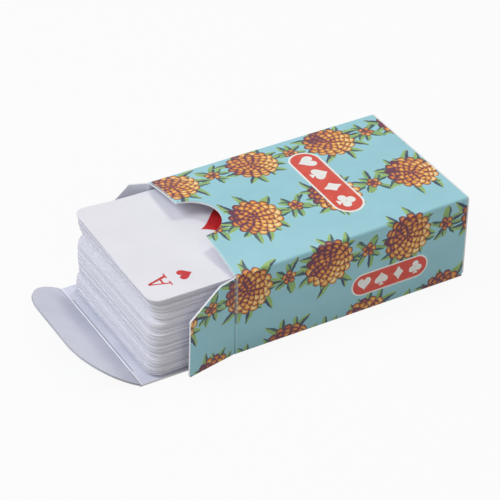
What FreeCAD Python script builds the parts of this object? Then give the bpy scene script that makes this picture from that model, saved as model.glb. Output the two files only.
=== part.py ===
import FreeCAD, Part
import math
import os
import Sketcher

# A mini playing-card pack in its opened tuck box. Millimetres, +Z up.
# The origin is the middle of the back panel's underside, and the mouth of the box faces -Y.
# The deck is drawn part way out of the mouth, over the opened lid.

doc = FreeCAD.newDocument("card_pack")

# Driving sizes, in millimetres, with the turns in degrees
driving_sizes = [
    ("card_length", "57.0"),
    ("card_width", "38.2"),
    ("card_thickness", "0.31"),
    ("card_corner", "3.0"),
    ("card_air", "0.04"),
    ("board", "0.45"),
    ("fold_radius", "0.25"),
    ("side_room", "0.53"),
    ("deck_lift", "0.3"),
    ("deck_head", "1.35"),
    ("pair_gap", "0.2"),
    ("end_room", "1.65"),
    ("mouth_crown", "2.6"),
    ("mouth_droop", "0.9"),
    ("notch_radius", "6.8"),
    ("seam_width", "9.0"),
    ("seam_taper", "3.0"),
    ("seam_setback", "1.5"),
    ("lid_ease", "0.5"),
    ("lid_inset", "0.4"),
    ("tongue_depth", "13.4"),
    ("tongue_side", "0.1"),
    ("tongue_turn", "31"),
    ("slit_length", "5.0"),
    ("slit_setback", "0.5"),
    ("slit_gap", "0.2"),
    ("flap_length", "13.2"),
    ("flap_slant", "0.4"),
    ("flap_shoulder", "4.4"),
    ("flap_foot", "0.1"),
    ("flap_rise", "0.8"),
    ("flap_corner", "0.4"),
    ("right_flap_head", "1.2"),
    ("right_flap_drop", "5.0"),
    ("right_flap_turn", "14.5"),
    ("left_flap_head", "0.3"),
    ("left_flap_drop", "10.5"),
    ("left_flap_turn", "21"),
    ("base_inset", "0.12"),
    ("base_play", "0.15"),
    ("base_inner_depth", "13.5"),
    ("base_flap_length", "13.0"),
    ("base_flap_taper", "3.0"),
    ("deck_out", "19.2"),
    ("deck_jitter", "0.12"),
    ("deck_yaw", "0.08"),
    ("bottom_packet_out", "1.3"),
    ("bottom_packet_lean", "-0.4"),
    ("bottom_packet_turn", "0.5"),
    ("lower_packet_out", "0.3"),
    ("lower_packet_lean", "0.3"),
    ("lower_packet_turn", "0"),
    ("upper_packet_out", "0.7"),
    ("upper_packet_lean", "-0.6"),
    ("upper_packet_turn", "0"),
    ("top_packet_out", "-1.1"),
    ("top_packet_lean", "1.0"),
    ("top_packet_turn", "-0.2"),
    ("pair_packet_out", "0.1"),
    ("pair_packet_lean", "0.15"),
    ("pair_packet_turn", "-0.6"),
]
sizes = doc.addObject("Spreadsheet::Sheet", "sizes")
for row, (alias, number) in enumerate(driving_sizes, start=1):
    sizes.set(f"A{row}", alias)
    sizes.set(f"B{row}", number)
    sizes.setAlias(f"B{row}", alias)
doc.recompute()

# The deck from the bottom card up: two jokers, then four suits that each end in an ace
courts = ["king", "queen", "jack"]
ranks = courts + ["ten", "nine", "eight", "seven", "six", "five", "four", "three", "two", "ace"]
suits = ["spades", "diamonds", "clubs", "hearts"]
cards = ["red_joker", "black_joker"] + [f"{rank}_of_{suit}" for suit in suits for rank in ranks]

# The packets that the loose deck lies in, from the bottom up, with the number of cards in each
packet_names = ["bottom", "lower", "upper", "top", "pair"]
packet_counts = [11, 14, 12, 15, 2]

# The deck also lies in steps to the side, each a share of the side room
step_counts = [11, 19, 14, 8, 2]
step_shares = [0.4, 0.8, 0.05, -0.68, -0.2]

# The step, in radians, of the small wave by which neighbouring cards lie unevenly
jitter_turn = 2.4

# How near an edge has to lie to a point to be found there
close = 1e-3

# Sizes that follow from the driving ones
half_card = "(sizes.card_width / 2)"
pitch = "(sizes.card_thickness + sizes.card_air)"
half_inside = "(sizes.card_width / 2 + sizes.side_room)"
half_width = f"({half_inside} + sizes.board)"
deck_floor = "(2 * sizes.board + sizes.deck_lift)"
inside_top = f"({deck_floor} + {len(cards)} * {pitch} + sizes.pair_gap + sizes.deck_head)"
height = f"({inside_top} + sizes.board)"
fold_outside = "(sizes.fold_radius + sizes.board)"
base_layers = "(3 * sizes.board)"
length = f"(sizes.card_length + sizes.end_room + {base_layers})"
mouth = f"(-{length} / 2)"
tube_end = f"({length} / 2 - sizes.board)"
base_inside = f"({length} / 2 - {base_layers})"
lid_depth = f"({height} + sizes.lid_ease)"
lid_half = f"({half_width} - sizes.lid_inset)"
crease_half = f"({lid_half} - sizes.slit_length)"
flap_low = "(sizes.board + sizes.flap_foot)"


def number_of(expression):
    return float(sizes.evalExpression(expression))


def point_of(x, y, z):
    return FreeCAD.Vector(number_of(x), number_of(y), number_of(z))


def new_body(name):
    body = doc.addObject("PartDesign::Body", name)
    body.Label = name
    return body


def new_sketch(body, role, name, offset="0"):
    plane = next(item for item in body.Origin.OriginFeatures if item.Role == role)
    sketch = body.newObject("Sketcher::SketchObject", name)
    sketch.AttachmentSupport = [(plane, "")]
    sketch.MapMode = "FlatFace"
    sketch.setExpression("AttachmentOffset.Base.z", offset)
    return sketch


def hold(sketch, constraint, expression):
    index = sketch.addConstraint(constraint)
    sketch.setExpression(f"Constraints[{index}]", expression)


def hold_corner(sketch, edge, x, y):
    hold(sketch, Sketcher.Constraint("DistanceX", -1, 1, edge, 1, number_of(x)), x)
    hold(sketch, Sketcher.Constraint("DistanceY", -1, 1, edge, 1, number_of(y)), y)


# A closed outline, counter-clockwise, whose corners are pairs of expressions held from the sketch's
# origin. An edge that is listed in arcs swells outwards as an arc of the radius given there.
def draw_outline(sketch, corners, arcs=None):
    arcs = arcs or {}
    points = [point_of(x, y, "0") for x, y in corners]
    following = points[1:] + points[:1]
    for index, (start, end) in enumerate(zip(points, following)):
        if index in arcs:
            chord = end - start
            outwards = FreeCAD.Vector(chord.y, -chord.x, 0) / chord.Length
            radius = number_of(arcs[index])
            swell = radius - math.sqrt(radius**2 - (chord.Length / 2)**2)
            sketch.addGeometry(Part.Arc(start, (start + end) / 2 + outwards * swell, end), False)
        else:
            sketch.addGeometry(Part.LineSegment(start, end), False)
    for index, (x, y) in enumerate(corners):
        sketch.addConstraint(Sketcher.Constraint("Coincident", (index - 1) % len(corners), 2, index, 1))
        hold_corner(sketch, index, x, y)
    for index, radius in arcs.items():
        hold(sketch, Sketcher.Constraint("Radius", index, number_of(radius)), radius)


def add_pad(body, name, sketch, thickness, backwards=False):
    pad = body.newObject("PartDesign::Pad", name)
    pad.Profile = sketch
    pad.Reversed = backwards
    pad.setExpression("Length", thickness)
    doc.recompute()
    return pad


# The straight edges of a feature that run along a direction through a point
def edges_through(feature, points, direction):
    names = []
    for index, edge in enumerate(feature.Shape.Edges, start=1):
        start = edge.Vertexes[0].Point
        end = edge.Vertexes[-1].Point
        along = start != end and (end - start).cross(direction).Length < close
        if along and any((point - start).cross(direction).Length < close for point in points):
            names.append(f"Edge{index}")
    return names


def add_fillet(body, name, base, edges, radius):
    fillet = body.newObject("PartDesign::Fillet", name)
    fillet.Base = (base, edges)
    fillet.setExpression("Radius", radius)
    doc.recompute()
    return fillet


# Corners of the tube's section, whose right wall can stand lower than its left one
def section_corners(half, low, high, fold, droop):
    flat_half = f"({half} - {fold})"
    low_fold = f"({low} + {fold})"
    high_fold = f"({high} - {fold})"
    return [
        (f"-{flat_half}", low),
        (flat_half, low),
        (half, low_fold),
        (half, f"({high_fold} - {droop})"),
        (flat_half, f"({high} - {droop})"),
        (f"-{flat_half}", high),
        (f"-{half}", high_fold),
        (f"-{half}", low_fold),
    ]


# Sleeve: a tube whose front panel is pushed up into an arch at the mouth and flat at the base
def tube_sections(body, name, half, low, high, fold):
    folds = {1: fold, 3: fold, 5: fold, 7: fold}
    half_chord = f"sqrt(({half} - {fold})^2 + (sizes.mouth_droop / 2)^2)"
    arch = {4: f"({half_chord}^2 + sizes.mouth_crown^2) / (2 * sizes.mouth_crown)"}
    at_mouth = new_sketch(body, "XZ_Plane", f"{name}_at_mouth", f"-{mouth}")
    draw_outline(at_mouth, section_corners(half, low, high, fold, "sizes.mouth_droop"), folds | arch)
    at_base = new_sketch(body, "XZ_Plane", f"{name}_at_base", f"-{tube_end}")
    draw_outline(at_base, section_corners(half, low, high, fold, "0"), folds)
    return at_mouth, at_base


def add_loft(body, kind, name, sections):
    loft = body.newObject(kind, name)
    loft.Profile = sections[0]
    loft.Sections = [sections[1]]
    loft.Ruled = True
    doc.recompute()
    return loft


def make_sleeve():
    body = new_body("sleeve")
    outer = tube_sections(body, "outer", half_width, "0", height, fold_outside)
    add_loft(body, "PartDesign::AdditiveLoft", "outer_wall", outer)
    inner = tube_sections(body, "inner", half_inside, "sizes.board", inside_top, "sizes.fold_radius")
    add_loft(body, "PartDesign::SubtractiveLoft", "hollow", inner)

    # The glue seam lies on the back panel, turned in from the left wall
    seam_start = f"({mouth} + sizes.seam_setback)"
    seam_end = f"({base_inside} - sizes.seam_setback)"
    seam_edge = f"(sizes.seam_width - {half_inside})"
    wall_edge = f"(-{half_inside} - sizes.board / 2)"
    seam = new_sketch(body, "XY_Plane", "seam_outline", "sizes.board")
    draw_outline(seam, [
        (wall_edge, seam_start),
        (seam_edge, f"({seam_start} + sizes.seam_taper)"),
        (seam_edge, f"({seam_end} - sizes.seam_taper)"),
        (wall_edge, seam_end),
    ])
    add_pad(body, "glue_seam", seam, "sizes.board")

    # The thumb notch is cut upwards from inside, through the front panel alone
    circle = new_sketch(body, "XY_Plane", "notch_outline", f"({inside_top} / 2)")
    centre = point_of("0", mouth, "0")
    circle.addGeometry(Part.Circle(centre, FreeCAD.Vector(0, 0, 1), number_of("sizes.notch_radius")), False)
    circle.addConstraint(Sketcher.Constraint("PointOnObject", 0, 3, -2))
    hold(circle, Sketcher.Constraint("DistanceY", -1, 1, 0, 3, number_of(mouth)), mouth)
    hold(circle, Sketcher.Constraint("Radius", 0, number_of("sizes.notch_radius")), "sizes.notch_radius")
    before = body.Shape.Volume
    notch = body.newObject("PartDesign::Pocket", "thumb_notch")
    notch.Profile = circle
    notch.Type = "ThroughAll"
    notch.Reversed = True
    doc.recompute()
    assert body.Shape.Volume < before
    return body


# Lid panel: hinged on the back panel's outer face, lying flat in front of the mouth.
# It reaches past the tongue's crease as far as the slits at both ends.
def make_lid():
    body = new_body("lid_panel")
    slit = f"-({lid_depth} + sizes.slit_setback)"
    outline = new_sketch(body, "XY_Plane", "lid_outline")
    draw_outline(outline, [
        (f"-{lid_half}", slit),
        (f"-{crease_half}", slit),
        (f"-{crease_half}", f"-{lid_depth}"),
        (crease_half, f"-{lid_depth}"),
        (crease_half, slit),
        (lid_half, slit),
        (lid_half, "0"),
        (f"-{lid_half}", "0"),
    ])
    add_pad(body, "lid_board", outline, "sizes.board")
    body.setExpression("Placement.Base.y", mouth)
    return body


# Tuck tongue: hinged on the lid's inner face, slit free at both ends of its crease, with round corners
def make_tongue():
    body = new_body("tuck_tongue")
    slit = "(sizes.slit_setback + sizes.slit_gap)"
    outline = new_sketch(body, "XY_Plane", "tongue_outline")
    draw_outline(outline, [
        (f"-{lid_half}", "-sizes.tongue_depth"),
        (lid_half, "-sizes.tongue_depth"),
        (lid_half, f"-{slit}"),
        (crease_half, f"-{slit}"),
        (crease_half, "0"),
        (f"-{crease_half}", "0"),
        (f"-{crease_half}", f"-{slit}"),
        (f"-{lid_half}", f"-{slit}"),
    ])
    pad = add_pad(body, "tongue_board", outline, "sizes.board", backwards=True)
    tips = [point_of(side + lid_half, "-sizes.tongue_depth", "0") for side in ("-", "")]
    edges = edges_through(pad, tips, FreeCAD.Vector(0, 0, 1))
    corner = f"(sizes.tongue_depth - {slit} - sizes.tongue_side)"
    add_fillet(body, "tongue_corners", pad, edges, corner)
    body.Placement.Rotation = FreeCAD.Rotation(FreeCAD.Vector(-1, 0, 0), number_of("sizes.tongue_turn"))
    body.setExpression("Placement.Rotation.Angle", "sizes.tongue_turn")
    body.setExpression("Placement.Base.y", f"{mouth} - {lid_depth}")
    body.setExpression("Placement.Base.z", "sizes.board")
    return body


# Dust flap: hinged on a side wall's outer face and turned a little outwards
def make_dust_flap(side, outward):
    body = new_body(f"dust_flap_{side}")
    flap_top = f"({height} - sizes.{side}_flap_head)"
    far_corners = [
        ("-(sizes.flap_length + sizes.flap_slant)", f"({flap_low} + sizes.flap_rise)"),
        ("-sizes.flap_length", f"({flap_top} - sizes.{side}_flap_drop)"),
    ]
    shoulder = ("-sizes.flap_shoulder", flap_top)
    outline = new_sketch(body, "YZ_Plane", f"{side}_flap_outline")
    draw_outline(outline, [("0", flap_low)] + far_corners + [shoulder, ("0", flap_top)])
    pad = add_pad(body, f"{side}_flap_board", outline, "sizes.board", backwards=outward > 0)
    edges = edges_through(pad, [point_of("0", y, z) for y, z in far_corners], FreeCAD.Vector(1, 0, 0))
    add_fillet(body, f"{side}_flap_corners", pad, edges, "sizes.flap_corner")
    turn = f"sizes.{side}_flap_turn"
    body.Placement.Rotation = FreeCAD.Rotation(FreeCAD.Vector(0, 0, outward), number_of(turn))
    body.setExpression("Placement.Rotation.Angle", turn)
    body.setExpression("Placement.Base.x", f"{outward} * {half_width}")
    body.setExpression("Placement.Base.y", mouth)
    return body


# A flat layer of the glued base, drawn across the end of the tube
def base_layer(name, corners, layers_deep):
    body = new_body(name)
    face = f"-({length} / 2 - {layers_deep} * sizes.board)"
    outline = new_sketch(body, "XZ_Plane", f"{name}_outline", face)
    draw_outline(outline, corners)
    return body, add_pad(body, f"{name}_board", outline, "sizes.board", backwards=True)


# Base: the outer flap covers the tube's end, over the inner flap and two dust flaps, all glued
def make_base():
    edge = f"({half_width} - sizes.base_inset)"
    outer_top = f"({height} - sizes.base_inset)"
    outer, pad = base_layer("base_outer_flap", [
        (f"-{edge}", "0"),
        (edge, "0"),
        (edge, outer_top),
        (f"-{edge}", outer_top),
    ], 1)
    corners = [point_of(side + edge, "0", level) for side in ("-", "") for level in ("0", outer_top)]
    edges = edges_through(pad, corners, FreeCAD.Vector(0, 1, 0))
    add_fillet(outer, "base_outer_corners", pad, edges, fold_outside)

    wall = f"({half_inside} - sizes.base_play)"
    low = "(sizes.board + sizes.base_play)"
    high = f"({inside_top} - sizes.base_play)"
    inner, pad = base_layer("base_inner_flap", [
        (f"-{wall}", f"({high} - sizes.base_inner_depth)"),
        (wall, f"({high} - sizes.base_inner_depth)"),
        (wall, high),
        (f"-{wall}", high),
    ], 2)
    layers = [outer, inner]
    for side, sign in (("right", ""), ("left", "-")):
        free_edge = f"{sign}({wall} - sizes.base_flap_length)"
        flap, pad = base_layer(f"base_flap_{side}", [
            (sign + wall, low),
            (sign + wall, high),
            (free_edge, f"({high} - sizes.base_flap_taper)"),
            (free_edge, f"({low} + sizes.base_flap_taper)"),
        ], 3)
        layers.append(flap)
    base = doc.addObject("Part::Compound", "base_flaps")
    base.Label = "base_flaps"
    base.Links = layers
    return base


# One card with rounded corners, centred on its own origin, which every card of the deck repeats
def make_card_blank():
    body = new_body("card_blank")
    half_long = "(sizes.card_length / 2)"
    corners = [
        (f"-{half_card}", f"-{half_long}"),
        (half_card, f"-{half_long}"),
        (half_card, half_long),
        (f"-{half_card}", half_long),
    ]
    outline = new_sketch(body, "XY_Plane", "card_outline")
    draw_outline(outline, corners)
    pad = add_pad(body, "card_stock", outline, "sizes.card_thickness")
    edges = edges_through(pad, [point_of(x, y, "0") for x, y in corners], FreeCAD.Vector(0, 0, 1))
    add_fillet(body, "card_corners", pad, edges, "sizes.card_corner")
    return body


# How far each card lies out past the deck's line, and its turn and rise, as expressions
def packet_lie():
    lie = []
    for name, count in zip(packet_names, packet_counts):
        rise = "sizes.pair_gap" if name == "pair" else "0"
        for place in range(count):
            lean = f"sizes.{name}_packet_lean * {place / (count - 1)}"
            out = f"(sizes.{name}_packet_out + {lean})"
            lie.append((out, f"sizes.{name}_packet_turn", rise))
    return lie


def make_cards():
    blank = make_card_blank()
    shares = [share for share, count in zip(step_shares, step_counts) for _ in range(count)]
    lie = packet_lie()
    assert len(lie) == len(shares) == len(cards)
    upright = FreeCAD.Vector(0, 0, 1)
    deck = []
    for level, name in enumerate(cards):
        body = new_body(name)
        copy = body.newObject("PartDesign::FeatureBase", f"{name}_stock")
        copy.BaseFeature = blank
        body.Tip = copy
        out, turn, rise = lie[level]
        wave = math.sin(jitter_turn * level)
        front = f"({mouth} - sizes.deck_out - {out} - sizes.deck_jitter * {wave})"
        body.Placement.Rotation = FreeCAD.Rotation(upright, number_of("sizes.deck_yaw"))
        body.setExpression("Placement.Rotation.Angle", f"{turn} + sizes.deck_yaw * {wave}")
        body.setExpression("Placement.Base.x", f"sizes.side_room * {shares[level]}")
        body.setExpression("Placement.Base.y", f"{front} + sizes.card_length / 2")
        body.setExpression("Placement.Base.z", f"{deck_floor} + {level} * {pitch} + {rise}")
        deck.append(body)
    return deck


pieces = [make_sleeve(), make_lid(), make_tongue(), make_dust_flap("right", 1), make_dust_flap("left", -1)]
pieces.append(make_base())
pieces.extend(make_cards())
doc.recompute()

# Nothing is written unless every object and every shape is sound
for item in doc.Objects:
    assert "Invalid" not in item.State and "Error" not in item.State, item.Name
for piece in pieces:
    assert not piece.Shape.isNull() and piece.Shape.isValid(), piece.Label

os.makedirs("parts", exist_ok=True)
for piece in pieces:
    piece.Shape.exportStep(f"parts/{piece.Label}.step")
print(f"{len(pieces)} pieces written")
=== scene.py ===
import bpy
import numpy as np
from functools import partial
from math import atan2, copysign, cos, hypot, pi, radians, sin, sqrt, tan, tau
from mathutils import Matrix, Vector
from mathutils.geometry import delaunay_2d_cdt


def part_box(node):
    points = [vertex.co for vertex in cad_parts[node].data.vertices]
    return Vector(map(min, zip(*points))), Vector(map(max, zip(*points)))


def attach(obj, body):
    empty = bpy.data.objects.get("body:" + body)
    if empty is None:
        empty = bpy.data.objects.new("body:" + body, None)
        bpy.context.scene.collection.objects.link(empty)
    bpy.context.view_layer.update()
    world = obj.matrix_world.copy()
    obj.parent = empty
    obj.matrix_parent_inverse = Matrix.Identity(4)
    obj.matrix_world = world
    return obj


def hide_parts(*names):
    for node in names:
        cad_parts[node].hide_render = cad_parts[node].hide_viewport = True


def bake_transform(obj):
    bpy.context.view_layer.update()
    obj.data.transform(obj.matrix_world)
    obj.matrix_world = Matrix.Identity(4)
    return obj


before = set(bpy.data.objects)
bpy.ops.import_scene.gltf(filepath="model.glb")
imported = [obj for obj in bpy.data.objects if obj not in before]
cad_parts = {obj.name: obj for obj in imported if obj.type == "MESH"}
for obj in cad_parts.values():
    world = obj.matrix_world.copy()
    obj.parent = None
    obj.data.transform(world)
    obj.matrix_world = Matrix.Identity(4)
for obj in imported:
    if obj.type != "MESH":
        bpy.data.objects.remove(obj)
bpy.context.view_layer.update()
scene = bpy.context.scene
scene.view_settings.view_transform = "Standard"
mm = 0.001  # the sizes below are in millimetres, the meshes in metres
uvScale = 0.01  # one UV unit is 100 mm of board
print("frame loaded:", len(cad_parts), "nodes")


# Node helpers: most find their node tree by the sockets that they are given, and give back their own output

def isSocket(value):
    return isinstance(value, bpy.types.NodeSocket)


def addNode(kind, inputs=None, tree=None, **settings):
    inputs = inputs or {}
    tree = tree or next(value.id_data for value in inputs.values() if isSocket(value))
    node = tree.nodes.new(kind)
    for key, value in settings.items():
        setattr(node, key, value)
    for key, value in inputs.items():
        if isSocket(value):
            tree.links.new(value, node.inputs[key])
        else:
            node.inputs[key].default_value = value
    return node.outputs


def calc(operation, *values):
    return addNode("ShaderNodeMath", dict(enumerate(values)), operation=operation)[0]


plus, minus, times, over = (partial(calc, name) for name in ("ADD", "SUBTRACT", "MULTIPLY", "DIVIDE"))


def step(value, low, high):
    ends = {"Value": value, "From Min": low, "From Max": high}
    return addNode("ShaderNodeMapRange", ends, interpolation_type="SMOOTHSTEP")["Result"]


def spread(value, low, high):
    return addNode("ShaderNodeMapRange", {"Value": value, "To Min": low, "To Max": high})["Result"]


def mix(share, first, second):
    return addNode("ShaderNodeMix", {0: share, 6: first, 7: second}, data_type="RGBA")[2]


def noise(place, scale, detail=3.0, roughness=0.5):
    settings = {"Vector": place, "Scale": scale, "Detail": detail, "Roughness": roughness}
    return addNode("ShaderNodeTexNoise", settings)["Fac"]


def ramp(share, stops):
    colour = addNode("ShaderNodeValToRGB", {"Fac": share})["Color"]
    points = colour.node.color_ramp.elements
    while len(points) < len(stops):
        points.new(0.5)
    for point, stop in zip(points, stops):
        point.position, point.color = stop
    return colour


def chanceOf(first, second):
    pair = addNode("ShaderNodeCombineXYZ", {0: first, 1: second})[0]
    return addNode("ShaderNodeTexWhiteNoise", {"Vector": pair}, noise_dimensions="2D")["Value"]


def rgb(*levels):
    # Linear colour from the levels that a screen shows, 0 to 255
    def linear(share):
        return share / 12.92 if share <= 0.04045 else ((share + 0.055) / 1.055) ** 2.4
    return tuple(linear(level / 255) for level in levels) + (1.0,)


def newMaterial(name):
    material = bpy.data.materials.new(name)
    material.use_nodes = True
    return material, material.node_tree


def paint(tree, colour, sheen, roughness):
    shader = tree.nodes["Principled BSDF"]
    tree.links.new(colour, shader.inputs["Base Color"])
    tree.links.new(spread(sheen, *roughness), shader.inputs["Roughness"])


def addBump(tree, height, strength, distance):
    bump = addNode("ShaderNodeBump", {"Strength": strength, "Distance": distance * mm, "Height": height})
    tree.links.new(bump["Normal"], tree.nodes["Principled BSDF"].inputs["Normal"])


def objectPlace(tree, stretch=(1, 1, 1)):
    coords = addNode("ShaderNodeTexCoord", tree=tree)
    return addNode("ShaderNodeMapping", {"Vector": coords["Object"], "Scale": stretch})["Vector"]


def sheetPlace(tree):
    # Place on the flat sheet, in millimetres
    flat = addNode("ShaderNodeUVMap", tree=tree, uv_map="flatSheet")[0]
    return addNode("ShaderNodeVectorMath", {0: flat, "Scale": 1 / uvScale}, operation="SCALE")[0]


def parts(vector):
    return addNode("ShaderNodeSeparateXYZ", {0: vector})


# Printed board: an aqua ground with layered blossoms, leaves and sprigs, in millimetres of the flat sheet

gold = rgb(240, 184, 78)
orange = rgb(219, 124, 44)
maroon = rgb(92, 28, 60)
cream = rgb(252, 222, 160)

art = {
    "ground": rgb(160, 213, 223),
    "groundDeep": rgb(147, 201, 213),
    "coreWhite": rgb(238, 238, 240),
    "roughness": (0.38, 0.5),
    "wobble": 0.6,
    "wobbleScale": 0.9,
    "washScale": 0.16,
    "grainScale": 2.6,
    "grainShare": 0.5,
    "rubbed": (0.72, 1.1),
    "sheenScale": 0.7,
    "toothScale": 7.0,
    "tooth": (0.12, 0.02),  # strength and depth in mm
}
cell = {"width": 19.4, "height": 20.4, "blossomShift": (4.2, 6.6), "sprigShift": (4.2, 16.8)}
# Rings: petals, tip radius, notch between petals, and turn counted in petals
blossomRings = [(15, 6.2, 0.9, 0.0), (14, 5.2, 0.85, 0.37), (12, 4.2, 0.8, 0.12),
                (9, 3.1, 0.7, 0.63), (6, 2.0, 0.6, 0.2), (3, 0.9, 0.3, 0.4)]
budRings = [(5, 1.9, 0.7, 0.0), (4, 1.0, 0.35, 0.4)]
# Fans: leaves, length, width, turn counted in leaves, bend and shade
blossomFans = [(8, 9.8, 3.4, 0.3, 0.05, 0.9), (7, 9.4, 3.3, 0.1, -0.04, 0.7)]
sprigFans = [(5, 5.6, 2.7, 0.1, 0.06, 0.9), (4, 5.0, 2.5, 0.55, -0.05, 0.7)]
sunAngle = 0.9  # the side from which every motif is painted as lit
petal = {
    "edge": 0.9,  # how far in from its edge a petal's colour reaches full brightness
    "curve": 2.4,
    "lit": 0.085,
    "vary": (0.5, 1.1),
    "soft": 0.04,
    "stops": [(0.0, maroon), (0.14, maroon), (0.34, orange), (0.66, gold), (1.0, cream)],
}
leaf = {
    "reach": (0.72, 1.0),
    "taper": 0.75,
    "split": (-0.1, 0.16),  # where its shady half meets its sunny half
    "navyShare": (0.3, 0.7),
    "ribLine": (0.12, 0.02),
    "ribShare": 0.6,
    "soft": 0.09,
    "light": rgb(156, 194, 100),
    "middle": rgb(92, 148, 104),
    "deep": rgb(34, 74, 88),
    "navy": rgb(30, 40, 84),
    "rib": rgb(188, 214, 140),
}
scores = {  # creases of the flat sheet: the board is painted darker in a pressed line as shade and paler on the bead beside it as a highlight
    "mouth": -30.0,
    "tongue": -52.6,
    "tongueHalf": 14.68,
    "slitBack": 0.5,
    "soft": 0.05,
    "inkShade": rgb(84, 126, 138),
    "inkHighlight": rgb(190, 226, 232),
    "boardShade": rgb(146, 149, 166),
    "boardHighlight": rgb(252, 252, 254),
    # start, end, strength and tone of each line, counted from its crease
    # outside: painted shade in the pressed groove, then a painted highlight beside it
    "outside": [(-0.36, -0.04, 0.7, "inkShade"), (0.04, 0.5, 0.42, "inkHighlight")],
    # tongue inside: a painted highlight on the bead, then painted shade beside it
    "tongueInside": [(-0.2, 0.14, 0.8, "boardHighlight"), (0.2, 0.44, 0.85, "boardShade")],
    # slit ends: a painted shadow in the slit's gap, then a painted highlight past it
    "slitInside": [(-0.05, 0.2, 0.85, "boardShade"), (0.28, 0.6, 0.7, "boardHighlight")],
    # mouth inside: a painted highlight on the crease's bead
    "mouthInside": [(-0.25, 0.1, 0.6, "boardHighlight")],
}


# Paints bands of shade and highlight along a crease line into a colour
def paintScoreShading(colour, along, line, marks, where=1.0):
    soft = scores["soft"]
    for low, high, share, tone in scores[marks]:
        low, high = line + low, line + high
        band = times(step(along, low - soft, low + soft), step(along, high + soft, high - soft))
        colour = mix(times(times(band, where), share), colour, scores[tone])
    return colour


def motifAt(across, along, shift):
    # Every second column of motifs is half a cell lower
    across, along = plus(across, shift[0]), plus(along, shift[1])
    column = calc("FLOOR", over(across, cell["width"]))
    along = plus(along, times(calc("FLOORED_MODULO", column, 2.0), cell["height"] / 2))
    row = calc("FLOOR", over(along, cell["height"]))
    x = minus(across, times(plus(column, 0.5), cell["width"]))
    y = minus(along, times(plus(row, 0.5), cell["height"]))
    chance = chanceOf(column, row)
    radius = calc("SQRT", plus(times(x, x), times(y, y)))
    bearing = calc("ARCTAN2", y, x)
    angle = plus(bearing, times(chance, tau))
    lit = times(radius, calc("COSINE", minus(bearing, sunAngle)))
    return {"radius": radius, "angle": angle, "chance": chance, "lit": lit}


def sectorOf(angle, count, turn):
    turns = plus(times(angle, count / tau), turn)
    index = calc("FLOORED_MODULO", calc("FLOOR", turns), float(count))
    return index, minus(calc("FRACT", turns), 0.5)


def petalRing(motif, ring, below):
    petals, tip, notch, turn = ring
    radius = motif["radius"]
    index, local = sectorOf(motif["angle"], petals, turn)
    fromMiddle = times(calc("ABSOLUTE", local), 2.0)
    dip = times(calc("POWER", fromMiddle, petal["curve"]), notch)
    toTip = minus(minus(tip, dip), radius)
    toSide = times(minus(1.0, fromMiddle), times(radius, pi / petals))
    edge = over(calc("MINIMUM", toTip, toSide), petal["edge"])
    vary = chanceOf(plus(index, tip), motif["chance"])
    lit = calc("MULTIPLY_ADD", motif["lit"], petal["lit"], spread(vary, *petal["vary"]))
    colour = ramp(times(edge, lit), petal["stops"])
    return mix(step(toTip, -petal["soft"], petal["soft"]), below, colour)


def leafFan(motif, fan, below):
    leaves, length, width, turn, bend, shade = fan
    radius = motif["radius"]
    index, local = sectorOf(calc("MULTIPLY_ADD", radius, bend, motif["angle"]), leaves, turn)
    vary = chanceOf(index, plus(motif["chance"], length))
    across = times(radius, times(local, tau / leaves))
    reach = times(spread(vary, *leaf["reach"]), length)
    share = calc("MINIMUM", over(radius, reach), 1.0)
    taper = times(share, calc("POWER", minus(1.0, share), leaf["taper"]))
    inside = minus(times(taper, width), calc("ABSOLUTE", across))
    sunny = mix(share, leaf["middle"], leaf["light"])
    dark = mix(step(vary, *leaf["navyShare"]), leaf["deep"], leaf["navy"])
    shady = mix(shade, leaf["middle"], dark)
    colour = mix(step(across, *leaf["split"]), shady, sunny)
    rib = step(calc("ABSOLUTE", across), *leaf["ribLine"])
    colour = mix(times(rib, leaf["ribShare"]), colour, leaf["rib"])
    return mix(step(inside, 0.0, leaf["soft"]), below, colour)


def makePrint():
    material, tree = newMaterial("boardPrint")
    place = sheetPlace(tree)

    # The drawing's lines waver a little, as brushed ones do
    waver = addNode("ShaderNodeTexNoise", {"Vector": place, "Scale": art["wobbleScale"]})["Color"]
    centred = addNode("ShaderNodeVectorMath", {0: waver, 1: (0.5,) * 3}, operation="SUBTRACT")[0]
    drawn = {0: centred, 1: (art["wobble"],) * 3, 2: place}
    across, along, _ = parts(addNode("ShaderNodeVectorMath", drawn, operation="MULTIPLY_ADD")[0])

    washes = noise(place, art["washScale"], detail=2.0)
    colour = mix(washes, art["groundDeep"], art["ground"])
    for shift, fans, rings in (("sprigShift", sprigFans, budRings), ("blossomShift", blossomFans, blossomRings)):
        motif = motifAt(across, along, cell[shift])
        for fan in fans:
            colour = leafFan(motif, fan, colour)
        for ring in rings:
            colour = petalRing(motif, ring, colour)
    # Painted shade and highlight along the mouth's crease
    colour = paintScoreShading(colour, parts(place)[1], scores["mouth"], "outside")

    # Board shows through where folds and cut edges are rubbed
    wear = addNode("ShaderNodeAttribute", tree=tree, attribute_name="wear")["Fac"]
    grain = noise(place, art["grainScale"], detail=4.0, roughness=0.65)
    bare = step(plus(wear, times(grain, art["grainShare"])), *art["rubbed"])
    colour = mix(bare, colour, art["coreWhite"])
    paint(tree, colour, noise(place, art["sheenScale"], detail=4.0), art["roughness"])
    addBump(tree, noise(place, art["toothScale"]), *art["tooth"])
    return material


paper = {"clouds": 90.0, "fibres": 2400.0, "shares": (0.55, 0.45), "paleFrom": (0.3, 0.7), "fibreDepth": 0.02}


def makePaper(name, pale, deep, roughness, bump, stretch=(1, 1, 1)):
    material, tree = newMaterial(name)
    place = objectPlace(tree, stretch)
    clouds = noise(place, paper["clouds"], detail=2.0)
    fibres = noise(place, paper["fibres"], detail=4.0, roughness=0.7)
    blend = plus(times(clouds, paper["shares"][0]), times(fibres, paper["shares"][1]))
    paint(tree, mix(step(blend, *paper["paleFrom"]), deep, pale), clouds, roughness)
    addBump(tree, fibres, bump, paper["fibreDepth"])
    return material


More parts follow.
